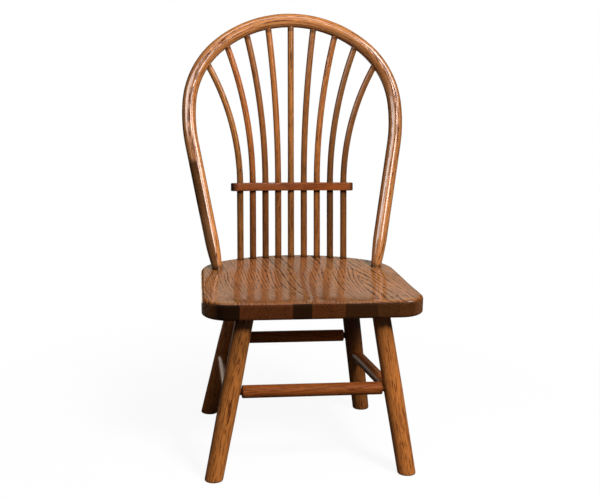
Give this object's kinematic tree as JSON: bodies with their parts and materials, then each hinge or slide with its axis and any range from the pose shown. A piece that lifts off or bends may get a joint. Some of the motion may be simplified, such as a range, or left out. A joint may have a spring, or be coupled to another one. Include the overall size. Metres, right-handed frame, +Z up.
{
  "type": "child's dining chair",
  "caption": "Child's wooden chair with a shaped solid seat, splayed round legs joined by stretchers, and a bent bow back filled with a sheaf of slim spindles held by a cross rail.",
  "frame": {"origin": "on the floor under the middle of the whole chair", "axes": "+Z up, -Y towards the front of the seat, +X to the right as seen from the front"},
  "size_m": [0.3876, 0.3814, 0.7243],
  "materials": {
    "seat_oak": "stained oak under gloss lacquer",
    "leg_oak": "stained oak under gloss lacquer",
    "stretcher_oak": "stained oak under gloss lacquer",
    "bow_oak": "stained oak under gloss lacquer",
    "spindle_oak": "stained oak under gloss lacquer",
    "rail_oak": "stained oak under gloss lacquer"
  },
  "bodies": {
    "root": {"seat_board_1": "seat_oak", "seat_board_2": "seat_oak", "seat_board_3": "seat_oak", "seat_board_4": "seat_oak", "seat_board_5": "seat_oak", "seat_board_6": "seat_oak", "seat_board_7": "seat_oak", "front_left_leg": "leg_oak", "front_right_leg": "leg_oak", "rear_left_leg": "leg_oak", "rear_right_leg": "leg_oak", "front_stretcher": "stretcher_oak", "rear_stretcher": "stretcher_oak", "left_side_stretcher": "stretcher_oak", "right_side_stretcher": "stretcher_oak", "bow": "bow_oak", "spindle_1": "spindle_oak", "spindle_2": "spindle_oak", "spindle_3": "spindle_oak", "spindle_4": "spindle_oak", "spindle_5": "spindle_oak", "spindle_6": "spindle_oak", "spindle_7": "spindle_oak", "spindle_8": "spindle_oak", "spindle_9": "spindle_oak", "sheaf_rail": "rail_oak"}
  },
  "joints": []
}
